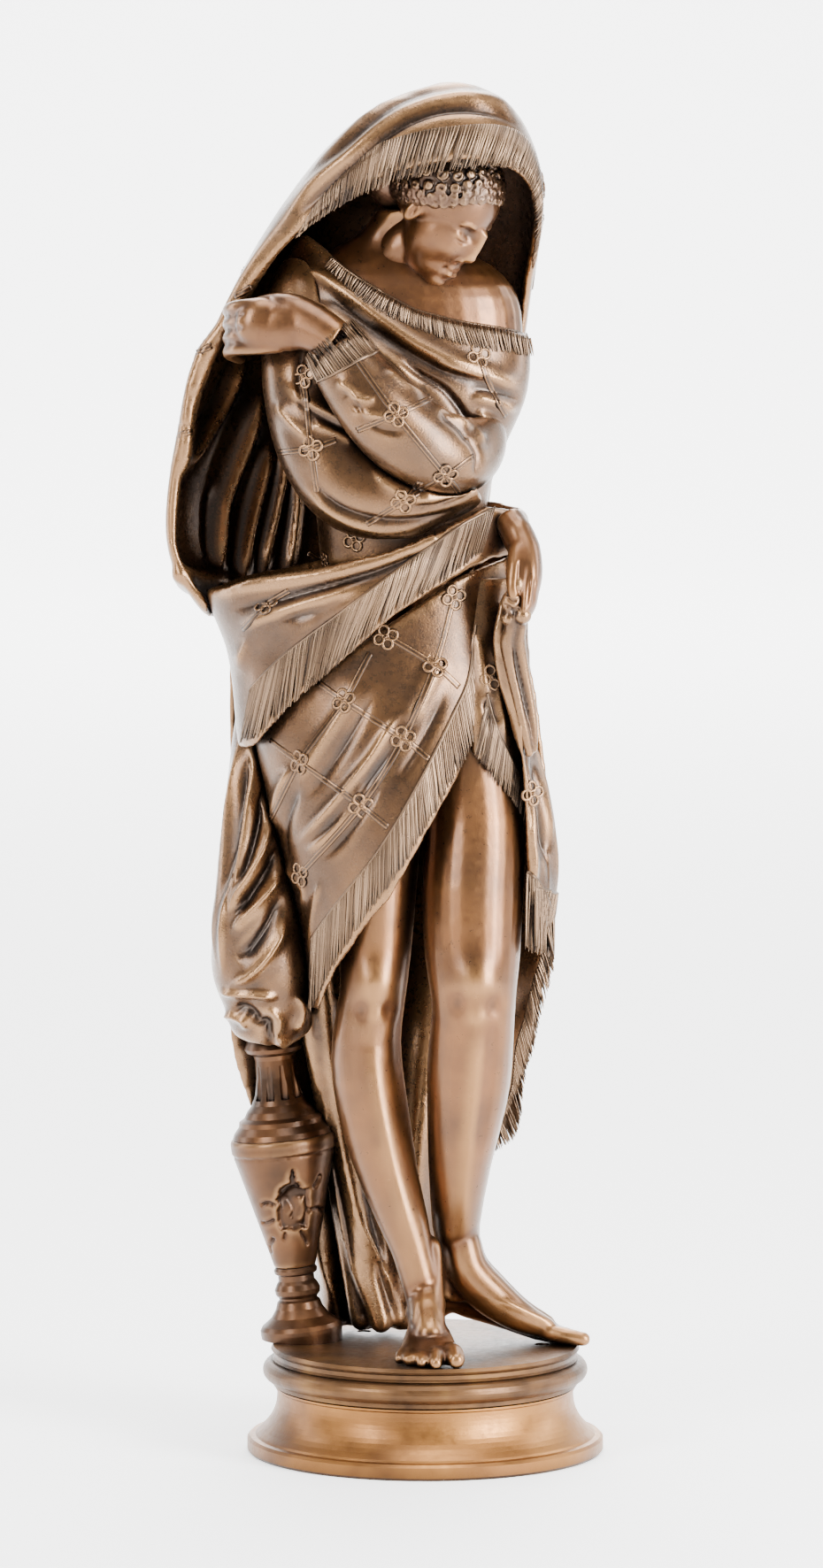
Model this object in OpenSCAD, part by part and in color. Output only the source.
// Bronze statuette of a draped standing figure beside a cracked urn, on a turned socle.
// Every casting is its own module: the turned base, the urn in four turned pieces,
// the legs, bust, head and hands, and the shawl in the sections it is cast in.
// +X is the viewer's right, -Y faces the viewer, +Z is up, and the origin is the
// centre of the socle's flat underside.

/* [Base] */
// Radius of the socle's foot, at the bottom
foot_r = 52; // [48:0.5:56]
// Height of the socle, from the table to the joint under the terrace
socle_h = 19; // [16:0.5:22]
// Height of the terrace, the round plate that the figure stands on
terrace_h = 12; // [10:0.5:14]
// Radius of the terrace's top
terrace_r = 45; // [43:0.5:47]
// Wall thickness of the hollow base castings
base_wall = 3; // [2.5:0.5:4]

/* [Urn] */
// Lean of the urn away from the figure, in degrees
urn_lean = 5.5; // [0:0.5:8]
// Radius of the urn at its shoulder
urn_r = 15.4; // [13:0.1:17]

/* [Shawl] */
// Thickness of the cast shawl
cloth = 2.6; // [2:0.1:3.5]
// Step from one layer of the shawl to the next
layer = 2.2; // [1.8:0.1:3]

/* [Fasteners] */
// Radius of the threaded studs
stud_r = 2; // [1.5:0.1:2.5]
// Height of a nut
nut_h = 3.2; // [2:0.1:4]

/* [Hidden] */

top_z = socle_h + terrace_h;            // the terrace's top, where feet, urn and cloth stand
gap = 0.15;                             // clearance between castings that meet
ring_sides = 28;                        // sides of a limb's cross-section
drape_sides = 44;                       // sides of the body's cross-section
cloth_tint = "#6b4a2c";
skin_tint = "#7d5630";
gold_tint = "#9c7440";
urn_tint = "#5d3f28";
steel_tint = "#8d8f92";

// ---------- Curves and skins ----------

function unit(v) = v / max(norm(v), 0.000001);

// One step of a Catmull-Rom curve, for numbers, points or whole rows of points.
function catmull(a, b, c, d, t) =
    0.5 * (2 * b + (c - a) * t + (2 * a - 5 * b + 4 * c - d) * t * t
        + (3 * b - a - 3 * c + d) * t * t * t);

// The list p with `k` steps between each two of its entries.
function smooth(p, k) = [
    for (i = [0 : len(p) - 2], j = [0 : k - 1])
        catmull(p[max(i - 1, 0)], p[i], p[i + 1], p[min(i + 2, len(p) - 1)], j / k),
    p[len(p) - 1]];

// An ellipse of points about c, in the plane of e1 and e2.
function ellipse(c, e1, e2, r1, r2, n) = [
    for (k = [0 : n - 1]) c + e1 * r1 * cos(360 * k / n) + e2 * r2 * sin(360 * k / n)];

// Level rings: each station is [z, x, y, rx, ry].
function level_rings(stations, grow, n) = [
    for (s = stations) ellipse([s[1], s[2], s[0]], [1, 0, 0], [0, 1, 0], s[3] + grow, s[4] + grow, n)];

// Rings square to a path: each station is [x, y, z, width, depth].
function place(s) = [s[0], s[1], s[2]];
function path_rings(stations, n) = [
    for (i = [0 : len(stations) - 1])
        let (s = stations[i],
             t = unit(place(stations[min(i + 1, len(stations) - 1)]) - place(stations[max(i - 1, 0)])),
             e1 = unit(cross([0, 1, 0], t)),
             e2 = cross(t, e1))
        ellipse(place(s), e1, e2, s[3], s[4], n)];

// A closed solid through a stack of rings that all have the same number of points.
module skin(rings) {
    n = len(rings[0]);
    m = len(rings);
    sides = [for (i = [0 : m - 2], j = [0 : n - 1])
        let (a = i * n + j, b = i * n + (j + 1) % n, c = a + n, d = b + n)
            each [[a, c, b], [b, c, d]]];
    bottom = [for (j = [0 : n - 1]) j];
    top = [for (j = [n - 1 : -1 : 0]) (m - 1) * n + j];
    polyhedron([for (r = rings) each r], concat([bottom], [top], sides));
}

// A limb along a path, smoothed between its stations.
module limb(stations, steps = 3, n = ring_sides) {
    skin(path_rings(smooth(stations, steps), n));
}

// The way a sheet faces at one of its points.
function facing(g, i, j) =
    let (up = g[min(i + 1, len(g) - 1)][j] - g[max(i - 1, 0)][j],
         across = g[i][min(j + 1, len(g[0]) - 1)] - g[i][max(j - 1, 0)])
    unit(cross(across, up));

// A sheet of even thickness on a grid of points, one row of points above another. `out` says
// where its first side lies, in thicknesses along the way that the grid faces.
module sheet(grid, thick, out = 0.5) {
    m = len(grid);
    n = len(grid[0]);
    off = m * n;
    function side(s) = [for (i = [0 : m - 1], j = [0 : n - 1]) grid[i][j] + facing(grid, i, j) * thick * s];
    faces = [for (i = [0 : m - 2], j = [0 : n - 2])
        let (a = i * n + j, b = a + 1, c = a + n, d = c + 1)
            each [[a, c, b], [b, c, d], [off + a, off + b, off + c], [off + b, off + d, off + c]]];
    rows = [for (j = [0 : n - 2])
        let (a = j, b = j + 1, c = (m - 1) * n + j, d = c + 1)
            each [[off + a, a, b], [off + a, b, off + b], [off + d, d, c], [off + d, c, off + c]]];
    ends = [for (i = [0 : m - 2])
        let (p = i * n, q = p + n, r = p + n - 1, s = q + n - 1)
            each [[off + q, q, p], [off + q, p, off + p], [off + r, r, s], [off + r, s, off + s]]];
    polyhedron(concat(side(out), side(out - 1)), concat(faces, rows, ends));
}

// A grid smoothed both up and across.
function smooth_grid(rows, up, across) = [for (r = smooth(rows, up)) smooth(r, across)];

// Everything in front of or behind an outline that is drawn as the viewer sees it.
module seen_from_front(outline, back = 70, front = 70) {
    translate([0, back, 0]) rotate([90, 0, 0]) linear_extrude(back + front) polygon(outline);
}

// ---------- Turned base ----------

module socle() {
    top_r = 43.2;
    cove = [for (t = [0 : 0.1 : 1]) [top_r + (foot_r - 3 - top_r) * pow(1 - t, 2.6),
        5.6 + (socle_h - 6.6) * t]];
    outside = concat([[foot_r - 0.6, 0], [foot_r, 0.8], [foot_r, 3.8], [foot_r - 0.8, 4.6],
        [foot_r - 2.4, 4.8], [foot_r - 2.8, 5.4]], cove, [[top_r + 0.5, socle_h - 0.6],
            [top_r + 0.5, socle_h]]);
    inside = [[30, socle_h], [30, socle_h - base_wall], [top_r - base_wall, socle_h - base_wall],
        [top_r - base_wall, 8], [foot_r - 3 - base_wall, 0]];
    color(gold_tint) difference() {
        rotate_extrude($fn = 120) polygon(concat(outside, inside));
        for (a = [30, 150, 270])
            rotate([0, 0, a]) translate([34, 0, 0]) cylinder(r = 2.2, h = 40, $fn = 40);
    }
}

module terrace() {
    bead = [for (a = [-90 : 15 : 90]) [44.4 + 3 * cos(a), 4.8 + 3 * sin(a)]];
    outside = concat([[43, 0], [44.4, 0.6], [44.4, 1.8]], bead,
        [[44.6, 8.2], [44, 8.8], [44, terrace_h - 2], [terrace_r - 0.4, terrace_h - 1.6],
         [terrace_r, terrace_h - 1], [terrace_r - 0.6, terrace_h], [0, terrace_h]]);
    inside = [[0, terrace_h - 4], [29, terrace_h - 4], [29, 0]];
    color(skin_tint) difference() {
        translate([0, 0, socle_h]) rotate_extrude($fn = 120) polygon(concat(outside, inside));
        for (a = [30, 150, 270])
            rotate([0, 0, a]) translate([34, 0, 0]) cylinder(r = 1.6, h = socle_h + 8, $fn = 40);
        for (p = stud_places) translate([p[0], p[1], 0]) cylinder(r = stud_r + gap, h = 60, $fn = 40);
        at_urn() cylinder(r = stud_r + gap, h = 60, center = true, $fn = 40);
    }
}

module socle_screws() {
    color(steel_tint) for (a = [30, 150, 270]) rotate([0, 0, a]) translate([34, 0, 0]) {
        translate([0, 0, socle_h - base_wall - 2.4]) difference() {
            cylinder(r = 3.6, h = 2.4, $fn = 48);
            translate([-4, -0.5, -1]) cube([8, 1, 2]);
        }
        translate([0, 0, socle_h - base_wall]) cylinder(r = 1.6, h = base_wall + 7, $fn = 40);
    }
}

// ---------- Studs that hold the figure down ----------

stud_places = [[1, -25], [34, -1], [-18, 22]];
under_terrace = top_z - 4;

module figure_studs() {
    color(steel_tint) for (p = stud_places)
        translate([p[0], p[1], under_terrace - 7]) cylinder(r = stud_r, h = 10.5, $fn = 40);
}

module figure_washers() {
    color(steel_tint) for (p = stud_places)
        translate([p[0], p[1], under_terrace - 1]) difference() {
            cylinder(r = 4, h = 1, $fn = 48);
            translate([0, 0, -1]) cylinder(r = stud_r + gap, h = 3, $fn = 40);
        }
}

module figure_nuts() {
    color(steel_tint) for (p = stud_places)
        translate([p[0], p[1], under_terrace - 1 - nut_h]) difference() {
            cylinder(r = 3.8, h = nut_h, $fn = 6);
            translate([0, 0, -1]) cylinder(r = stud_r, h = nut_h + 2, $fn = 40);
        }
}

// ---------- Urn, turned in four pieces on one rod ----------

urn_place = [-36, 9];

module at_urn() {
    translate([urn_place[0], urn_place[1], top_z]) rotate([0, -urn_lean, 0]) children();
}

module turned(outline, bore = stud_r) {
    rotate_extrude($fn = 96) polygon(concat([[bore, outline[0][1]]], outline, [[bore,
        outline[len(outline) - 1][1]]]));
}

module urn_foot() {
    color(urn_tint) difference() {
        at_urn() turned([[11.6, -2.5], [12, 2.4], [12, 3.6], [11.3, 4.8], [10.6, 5.3], [8.4, 7],
            [6.9, 9.4], [6.3, 11.4], [5.6, 12], [5.7, 12.6], [6.5, 13.6], [6.7, 15], [6, 16.6],
            [5.3, 17.6], [5.3, 19.2], [6.2, 19.8], [6.4, 20.8], [5.9, 21.6]]);
        translate([-70, -70, top_z - 20]) cube([140, 140, 20]);
    }
}

module urn_body() {
    color(urn_tint) difference() {
        at_urn() turned([[5.9, 21.7], [6.2, 22.4], [urn_r - 0.6, 55], [urn_r - 0.9, 55.6],
            [urn_r - 0.1, 56.2],
            [urn_r, 59.4], [urn_r - 0.6, 60.4]]);
        at_urn() translate([2.6, -urn_r, 41]) rotate([90, 0, 0]) cylinder(r = 4.6, h = 10, center = true,
            $fn = 7);
    }
}

module urn_neck() {
    flutes = 10;
    color(urn_tint) difference() {
        at_urn() turned([[urn_r - 0.8, 60.5], [urn_r - 1.4, 62], [12.4, 64], [12.2, 65.4], [10.6, 66.4],
            [9.6, 68.2], [8, 70], [6.8, 73], [6, 78], [5.8, 83], [6.2, 84.4]]);
        at_urn() for (k = [0 : flutes - 1])
            rotate([0, 0, 360 * k / flutes]) translate([7, 0, 71.5]) cylinder(r = 1.3, h = 10, $fn = 48);
    }
}

module urn_lip() {
    color(urn_tint) at_urn() turned([[6.2, 84.5], [8, 85.4], [8.6, 86.6], [8, 88], [7.6, 88.8],
        [9.4, 90], [11, 91.4], [11.4, 93], [10.8, 94.4]]);
}

module urn_rod() {
    color(steel_tint) at_urn() translate([0, 0, -10]) cylinder(r = stud_r - 0.1, h = 103, $fn = 40);
}

module urn_nut() {
    color(steel_tint) at_urn() translate([0, 0, -4.4 - nut_h]) difference() {
        cylinder(r = 3.8, h = nut_h, $fn = 6);
        translate([0, 0, -1]) cylinder(r = stud_r, h = nut_h + 2, $fn = 40);
    }
}

// ---------- Legs and feet ----------

// The figure's right leg carries the weight and its foot points to the viewer.
module right_leg_form() {
    limb([[0.5, -13, 38, 5.6, 6.4], [-0.2, -12, 45, 5.3, 6], [-1, -11.5, 50, 5.6, 6.2],
        [-3.7, -11, 60, 6, 6.8],
        [-5.8, -10, 67, 7, 7.8], [-10.4, -8, 81, 8.6, 9.8], [-14, -7, 95, 10, 11.4],
        [-16.6, -7, 110, 10.4, 11.4], [-17, -8, 122, 10, 10.4], [-15.4, -9, 134, 9.6, 10.6],
        [-14.6, -8, 146, 10.4, 11.6], [-14.5, -6, 172, 12.6, 13.6], [-14.5, -4, 196, 13.4, 14.6],
        [-16, -2, 228, 12.6, 16], [-16.4, -1, 250, 10.4, 15], [-16.4, 0, 266, 9.4, 13]], 2);
    limb([[0.4, -7, 36.4, 5.2, 5.2], [0.4, -12, 37.2, 5.6, 6], [0.6, -20, 37, 6.4, 5.8],
        [0.8, -28, 35, 8, 4], [1, -35, 33.6, 8.6, 2.7], [1, -40, 32.8, 7.6, 1.8]], 2, 24);
}

module right_leg() {
    color(skin_tint) difference() {
        right_leg_form();
        translate([-60, -60, top_z - 20]) cube([120, 120, 20]);
        translate([1, -25, top_z - 1]) cylinder(r = stud_r, h = 4.5, $fn = 40);
    }
}

// The left leg is bent at the knee, and its heel is off the ground.
module left_leg_form() {
    limb([[9.6, 6, 44, 5.6, 6.2], [9.8, 5, 50, 5.6, 6.2], [10.2, 3, 57, 6.3, 7], [9, 0, 66, 7, 8.2],
        [10, -5, 85, 9.2, 10.4], [12, -10, 104, 11.6, 12], [12.8, -13, 115, 12.3, 12.2],
        [13.8, -17, 130, 12, 11.2], [13.8, -18, 138, 12.6, 11.2], [13.6, -16, 147, 13.8, 13],
        [13.6, -13, 165, 14.6, 14.6], [14.4, -10, 184, 14.2, 15], [12, -7, 206, 13.8, 15.6],
        [6, -3, 232, 12.2, 16], [3.6, -1, 250, 9.6, 15], [3.4, 0, 266, 9, 13]], 2);
    limb([[6.6, 8, 42.6, 3.6, 4.4], [11, 7, 43.4, 5.6, 5.2], [18, 5.6, 42.4, 6.2, 5.4],
        [26, 4, 38.6, 4.8, 6], [34, 2.4, 34.8, 3.4, 6.4], [41, 1.4, 33, 2.2, 5.8],
            [46, 0.8, 32.4, 1.6, 4.2]], 2, 24);
}

module left_leg() {
    color(skin_tint) difference() {
        left_leg_form();
        translate([-60, -60, top_z - 20]) cube([120, 120, 20]);
        translate([34, -1, top_z - 1]) cylinder(r = stud_r, h = 4.5, $fn = 40);
    }
}

// ---------- Bust and head ----------

bust_stations = [[312, -4, 1, 31, 16], [322, -5, 1, 33, 16.4], [332, -6, 1, 33.6, 16],
    [339, -6.4, 1.4, 31.4, 15], [345, -7.4, 2, 26.4, 12.6], [349.5, -8.6, 2, 18.4, 10.2],
    [353, -9, 1.4, 12, 9], [356, -7.8, 0, 9.4, 8.6], [361, -5, -1.6, 8.8, 8.6]];

// The shoulders and neck; grown by the gap, it is what its neighbours are cut back to.
module bust_form(grow = 0) {
    skin(level_rings(smooth(bust_stations, 2), grow, 36));
}

module bust() {
    color(skin_tint) difference() {
        bust_form();
        neck_pin_form();
    }
}

// The head is turned to its left and bowed.
head_place = [5.5, -10, 360.5];

module at_head() {
    translate(head_place) rotate([0, 0, 50]) rotate([38, 0, 0]) rotate([0, 3, 0]) children();
}

module head() {
    color(skin_tint) difference() {
        at_head() hull() {
            translate([0, 2.4, 5]) sphere(r = 16.6, $fn = 32);
            translate([0, -3, 3]) sphere(r = 14.6, $fn = 32);
            translate([0, -8.4, -8]) sphere(r = 8.6, $fn = 24);
            translate([0, -12, -15]) sphere(r = 4.6, $fn = 24);
            translate([0, 10, 8]) sphere(r = 10, $fn = 24);
        }
        bust_form(gap);
        neck_pin_form();
    }
}

// ---------- Upper wrap and arms ----------

torso_stations = [[258, -6.4, 0, 24, 19], [272, -7, 0, 24.4, 19], [284, -7, 0, 26.6, 19.6],
    [296, -5.5, 0, 30, 20],
    [306, -5, -0.5, 34, 20], [316, -5.5, -0.5, 36, 20], [326, -6, 0, 36, 19], [336, -7, 1, 35, 17.6],
    [344, -10, 2, 31, 15], [351, -14, 2, 24, 11.6], [356, -18, 2, 15, 7]];
neckline = [[-80, 230], [60, 230], [60, 327], [30.5, 325.6], [20, 327], [10, 329], [-2.6, 332.4],
    [-13, 338], [-24, 345.6], [-29, 350], [-33, 353], [-46, 361], [-80, 361]];

module torso_wrap() {
    color(cloth_tint) difference() {
        intersection() {
            skin(level_rings(smooth(torso_stations, 2), 0, drape_sides));
            seen_from_front(neckline);
        }
        skin(level_rings(smooth([[240, -6.4, 0, 20.6, 16], [276, -7, 0, 21, 16], [296, -5.5, 0, 26, 16],
            [320, -5, 0, 30, 15.4], [334, -7, 1, 28, 12]], 2), 0, 32));
        bust_form(gap);
    }
}

module right_sleeve_form() {
    limb([[-34, -1, 346, 6, 6], [-35.6, -3, 338, 9.8, 10], [-35.2, -8, 322, 12, 12],
        [-33.8, -12, 308, 12.8, 13],
        [-29, -16, 293, 13.6, 13.6], [-20, -19, 282, 14, 13], [-8, -20, 280, 12.8, 12],
        [4, -19, 282, 11, 11], [14, -18, 285, 8, 9]]);
}

module left_sleeve_form() {
    limb([[16.5, -4, 301, 6, 7.6], [14.6, -11, 294.6, 9.4, 10], [9, -20, 290.4, 11.6, 12],
        [1, -26.6, 293, 12.4, 12],
        [-8, -30, 299.6, 12.4, 11.4], [-15.4, -31, 307.5, 11.6, 10.6], [-22, -30, 316, 10.2, 9.4],
        [-26.4, -29, 321.6, 8.6, 8]]);
}

module right_sleeve() {
    color(cloth_tint) difference() {
        right_sleeve_form();
        skin(level_rings(smooth(torso_stations, 2), gap, 32));
        left_sleeve_form();
    }
}

module left_sleeve() {
    color(cloth_tint) difference() {
        left_sleeve_form();
        skin(level_rings(smooth(torso_stations, 2), gap, 32));
    }
}

// The left hand lies on the right shoulder, with its fingers round the arm.
module left_hand() {
    color(skin_tint) difference() {
        union() {
            limb([[-25, -30, 323.6, 6, 5.6], [-32, -28, 327.6, 7, 5.4], [-39, -25.6, 329.6, 8, 5.2],
                [-45.4, -21, 329, 7.8, 4.8], [-48.4, -14.6, 327.6, 7, 4],
                    [-48.6, -8, 326.6, 5.6, 3.4]], 3, 24);
        }
        right_sleeve_form();
        left_sleeve_form();
        wrist_pins_form();
    }
}

// The right hand comes out from under the hip wrap and holds the cloth's end.
module right_hand() {
    color(skin_tint) difference() {
        limb([[29.4, -27, 246.4, 2.2, 3], [31, -28, 250, 3.2, 5.4], [30.8, -27, 256, 4.2, 6.6],
            [29.2, -25, 262, 4.6, 6], [26.6, -22, 268, 4.8, 5.4], [23.6, -18, 273, 4.6, 5]], 3, 24);
        wrist_pins_form();
    }
}

// ---------- Pins and rivets between the castings ----------

module neck_pin_form() {
    translate([-5, -1.6, 351]) cylinder(r = 1.5, h = 17, $fn = 32);
}

module neck_pin() {
    color(steel_tint) neck_pin_form();
}

// One pin in each wrist, laid along the arm.
module wrist_pins_form() {
    translate([-31, -28.4, 327]) rotate([0, 124, 6]) cylinder(r = 1.1, h = 12, center = true, $fn = 32);
    translate([28, -22.6, 267]) rotate([0, -34, 50]) cylinder(r = 1.1, h = 10, center = true, $fn = 32);
}

module wrist_pins() {
    color(steel_tint) wrist_pins_form();
}

// Rivets through the hood's lower edge and the back fall's upper edge: place, then turn about +Z.
rivet_places = [[-38, 28, 244, 30], [-10, 33, 244, 0], [13, 29, 252, -24]];

module shawl_rivets() {
    color(steel_tint) for (p = rivet_places)
        translate([p[0], p[1], p[2]]) rotate([0, 0, p[3]]) rotate([90, 0, 0])
            cylinder(r = 1.4, h = 14, center = true, $fn = 32);
}

// ---------- Shawl ----------

// The shawl's free edge and hood, as arches that stand one behind another.
hood_arches = [
    [[-63, -6, 246], [-73, -5, 259], [-74.5, -4, 275], [-71, -4, 294], [-63, -7, 318], [-50, -14, 341],
        [-36, -22, 356],
     [-20, -29, 367], [2, -33, 374], [22, -30, 374], [32, -22, 366], [33.6, -10, 354], [31, 2, 341],
         [29, 7, 322], [25, 8, 302], [17.4, 9, 284], [14, 9, 264]],
    [[-64, -2, 243], [-74.5, 0, 258], [-76, 1, 275], [-72.5, 0, 295], [-65, -2, 319], [-52.5, -8, 344],
        [-39, -16, 363],
     [-22, -25, 378], [2, -30, 386], [24, -26, 384.6], [33.6, -18, 372], [34.6, -6, 356], [32, 7, 341],
         [29.6, 12, 322], [25.6, 14, 302], [18, 15, 284], [14.6, 15, 262]],
    [[-62, 8, 241], [-72, 12, 258], [-73.5, 14, 276], [-70, 12, 298], [-63, 9, 322], [-50.5, 4, 349],
        [-36, -3, 371],
     [-20, -10, 388], [3, -14, 397.6], [22, -11, 395], [32, -3, 379], [33.6, 6, 358], [31, 17, 341],
         [28.6, 20, 322], [25.4, 22, 302], [19, 22, 284], [17, 21, 258]],
    [[-54, 21, 240], [-62, 26, 257], [-63, 28, 277], [-60, 27, 300], [-54, 24, 325], [-43, 20, 350],
        [-30, 15, 371],
     [-14, 10, 386], [3, 8, 393], [16, 9, 389], [24, 13, 374], [26, 20, 356], [25, 26, 339],
         [24, 29, 320], [22, 30, 300], [19, 29, 282], [18, 27, 252]],
    [[-36, 31, 240], [-42, 36, 256], [-43, 38, 277], [-41, 38, 299], [-37, 36, 322], [-30, 33, 344],
        [-20, 30, 362],
     [-9, 27, 373], [0, 26, 376], [7, 27, 371], [13, 30, 360], [15, 34, 347], [14.6, 37, 332],
         [14, 39, 315], [13, 39, 297], [12, 37, 276], [12, 34, 250]],
    [[-14, 35, 240], [-17, 41, 256], [-18, 43, 277], [-17.4, 43, 298], [-16, 42, 317], [-14, 40, 333],
        [-11, 38, 345],
     [-8, 37, 351], [-5, 36.6, 352], [-3, 37, 349], [-2, 39, 341], [-1.6, 41, 331], [-2, 42.6, 318],
         [-2.4, 43, 304], [-3, 43, 290], [-3.4, 41, 273], [-4, 37, 250]],
];

module hood() {
    color(cloth_tint) union() {
        sheet(smooth_grid(hood_arches, 3, 2), cloth, -0.3);
        limb([[-9, 36, 242, 7, cloth / 2], [-10, 42, 262, 9, cloth / 2], [-10, 42.6, 290, 9, cloth / 2],
            [-8.6, 41, 320, 8, cloth / 2], [-7, 37.4, 345, 5, cloth / 2],
                [-6.4, 36, 353, 3, cloth / 2]], 2, 12);
    }
}

// Level rings of the draped body from the knees to the waist, inside the shawl's layers.
drape_stations = [[118, 0, 0, 33, 26], [132, 0.6, -1, 34.4, 28], [150, 0.4, -1.6, 36, 29],
    [165, -1, -2, 38, 30],
    [180, -3.6, -2, 39.6, 30], [196, -7, -1.6, 40, 29.6], [209, -10.2, -1, 39.6, 29],
        [222, -11.2, -0.6, 39.6, 28.4],
    [235, -12.6, 0, 40.2, 27.6], [245, -14.6, 0, 42.4, 27], [254, -15.6, 0, 43, 26.6],
        [262, -12.6, 0, 39.4, 26], [270, -8, -1, 33.4, 25],
    [278, -5, -2, 28.6, 23.6]];

// The space between two layers of the draped body.
module drape_shell(inner, outer) {
    difference() {
        skin(level_rings(smooth(drape_stations, 2), outer, drape_sides));
        skin(level_rings(smooth(concat([[100, 0, 0, 33, 26]], drape_stations, [[300, -5, -2, 29, 23]]), 2),
            inner, drape_sides));
    }
}

hip_outline = [[-70, 250], [-50, 255], [-31, 258.6], [-13, 262], [5, 269], [18, 276.6], [28, 275],
    [34, 268], [34, 262],
    [20, 260], [9, 251], [-9, 239], [-23.6, 228], [-38, 218.6], [-49, 207], [-54, 205], [-70, 214]];

module hip_wrap() {
    color(cloth_tint) intersection() {
        drape_shell(layer + gap, layer + gap + cloth);
        seen_from_front(hip_outline);
    }
}

skirt_outline = [[-62, 216], [-47, 214], [-30, 230], [-10, 244], [10, 257], [24, 262], [24, 250],
    [20, 240], [17.4, 219],
    [13, 209], [9.4, 199], [2, 186], [-4, 175], [-10.4, 164], [-16.4, 157], [-26, 142], [-31, 130],
        [-34, 130], [-35, 148], [-41, 162],
    [-45, 176], [-49, 190], [-52, 204]];

module skirt_panel() {
    color(cloth_tint) intersection() {
        drape_shell(-cloth, 0);
        seen_from_front(skirt_outline, 2);
    }
}

// A second fringed layer that shows between the two borders, over the left thigh.
module inner_panel() {
    color(cloth_tint) intersection() {
        drape_shell(-2 * cloth - gap, -cloth - gap);
        seen_from_front([[14, 250], [44, 250], [44, 196], [30, 187], [20, 201], [12, 207]], 2);
    }
}

// The folded end that falls from the right hand, down the figure's left side.
side_rows = [
    [[22, -27, 252], [24.5, -26, 251], [27, -21, 250], [28, -12, 249], [27.4, 0, 248], [25.6, 12, 247]],
    [[18, -30.6, 232], [23.4, -29.6, 231], [27, -24, 230], [29, -13, 229], [29, 0, 228], [27, 13, 227]],
    [[20, -31.6, 210], [25, -31, 209], [30, -26, 208], [32.6, -14, 207], [32.6, 0, 206], [29, 14, 205]],
    [[27, -31, 190], [29.6, -29.6, 189], [34, -24, 187], [37, -13, 185], [37, 1, 184], [32.4, 15, 183]],
    [[29, -29, 171], [32, -27.6, 171], [36, -22, 170], [39, -12, 168], [38.6, 2, 168], [33.4, 16, 168]],
    [[29, -26, 157], [32.6, -24.6, 154], [35, -19, 152], [37, -10, 152], [36.6, 3, 153], [32.4, 16, 154]],
];

module side_fall() {
    color(cloth_tint) sheet(smooth_grid(side_rows, 3, 3), cloth, 1.3);
}

// The bunched end of the cloth, gripped by the right hand.
module gathered_end() {
    color(cloth_tint) limb([[24, -33.4, 226, 1.6, 1.6], [23.6, -34, 234, 2.4, 2.2],
        [23.4, -33, 242, 3.2, 3],
        [25.4, -32, 249, 4, 3], [26.6, -31, 255, 3.6, 3], [26, -29.6, 259, 2, 2]], 3, 20);
}

// The cloth that hangs on the left and gathers over the urn's mouth.
module urn_cloth() {
    color(cloth_tint) difference() {
        limb([[-44.4, 7, 119, 9.6, 9.6], [-44.6, 6, 124, 12.4, 12], [-45.6, 4, 130, 12.6, 13],
            [-47, 3, 140, 15.2, 15.6],
            [-47.6, 3, 150, 14.6, 16], [-47.6, 4, 162, 13.4, 16], [-48, 6, 178, 11.4, 15],
                [-49, 8, 196, 8.6, 13],
            [-48, 10, 212, 7.6, 11], [-46, 12, 226, 7, 9]]);
        drape_solid();
        at_urn() cylinder(r = 11.6, h = 95, $fn = 48);
    }
}

module drape_solid() {
    skin(level_rings(smooth(drape_stations, 2), gap, drape_sides));
}

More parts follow.
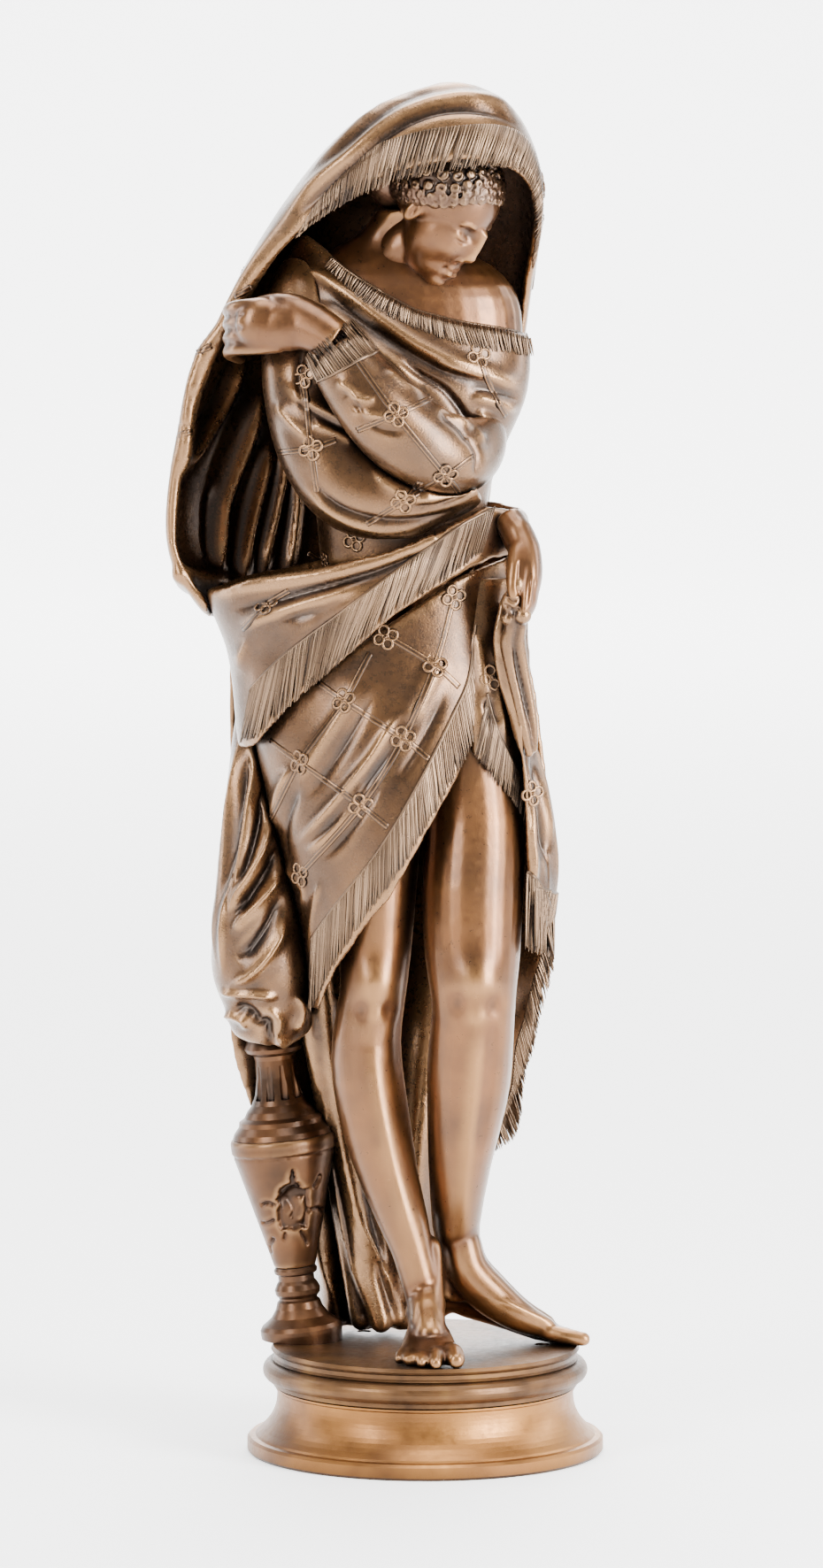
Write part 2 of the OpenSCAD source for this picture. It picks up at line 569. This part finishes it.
// The cloth behind the legs, from the hips to the terrace.
back_rows = [
    [[-30, 30, 31.5], [-27, 20, 31.5], [-22, 25, 31.5], [-17, 17, 31.5], [-12, 23, 31.5],
        [-7, 15, 31.5], [-3, 20, 31.5], [0, 24, 31.5], [2, 28, 31.5]],
    [[-34, 30, 60], [-30, 18, 60], [-24, 24, 60], [-18, 14, 60], [-12, 21, 60], [-6, 13, 60],
        [-1, 19, 60], [3, 23, 60], [6, 28, 60]],
    [[-42, 30, 88], [-36, 17, 88], [-28, 24, 88], [-20, 13, 88], [-11, 21, 88], [-3, 14, 88],
        [5, 21, 88], [13, 22, 88], [22, 24, 88]],
    [[-52, 28, 116], [-43, 17, 116], [-33, 26, 116], [-23, 16, 116], [-11, 25, 116], [0, 17, 116],
        [12, 25, 116], [22, 20, 116], [32, 20, 116]],
    [[-55, 24, 145], [-45, 22, 145], [-34, 30, 145], [-23, 24, 145], [-10, 31, 145], [3, 25, 145],
        [15, 29, 145], [27, 23, 145], [36, 16, 145]],
    [[-56, 20, 175], [-46, 27, 175], [-35, 33, 175], [-23, 31, 175], [-10, 35, 175], [4, 31, 175],
        [17, 30, 175], [29, 23, 175], [37, 13, 175]],
    [[-57, 15, 205], [-48, 26, 205], [-37, 32, 205], [-24, 34, 205], [-10, 35, 205], [5, 34, 205],
        [18, 29, 205], [28, 21, 205], [34, 12, 205]],
    [[-57, 13, 230], [-49, 22, 230], [-38, 28, 230], [-24, 32, 230], [-10, 34, 230], [4, 33, 230],
        [16, 28, 230], [24, 20, 230], [30, 12, 230]],
    [[-56, 12, 250], [-49, 19, 250], [-38, 25, 250], [-24, 29.6, 250], [-10, 32, 250], [3, 31, 250],
        [13, 26, 250], [19, 19, 250], [21, 12, 250]],
];

module back_fall() {
    color(cloth_tint) difference() {
        sheet(smooth_grid(back_rows, 3, 3), cloth);
        translate([-18, 22, top_z - 1]) cylinder(r = stud_r, h = 4.5, $fn = 40);
    }
}

socle();
terrace();
socle_screws();
figure_studs();
figure_washers();
figure_nuts();
urn_foot();
urn_body();
urn_neck();
urn_lip();
urn_rod();
urn_nut();
right_leg();
left_leg();
bust();
head();
torso_wrap();
right_sleeve();
left_sleeve();
left_hand();
right_hand();
hood();
hip_wrap();
skirt_panel();
inner_panel();
side_fall();
gathered_end();
urn_cloth();
back_fall();
neck_pin();
wrist_pins();
shawl_rivets();
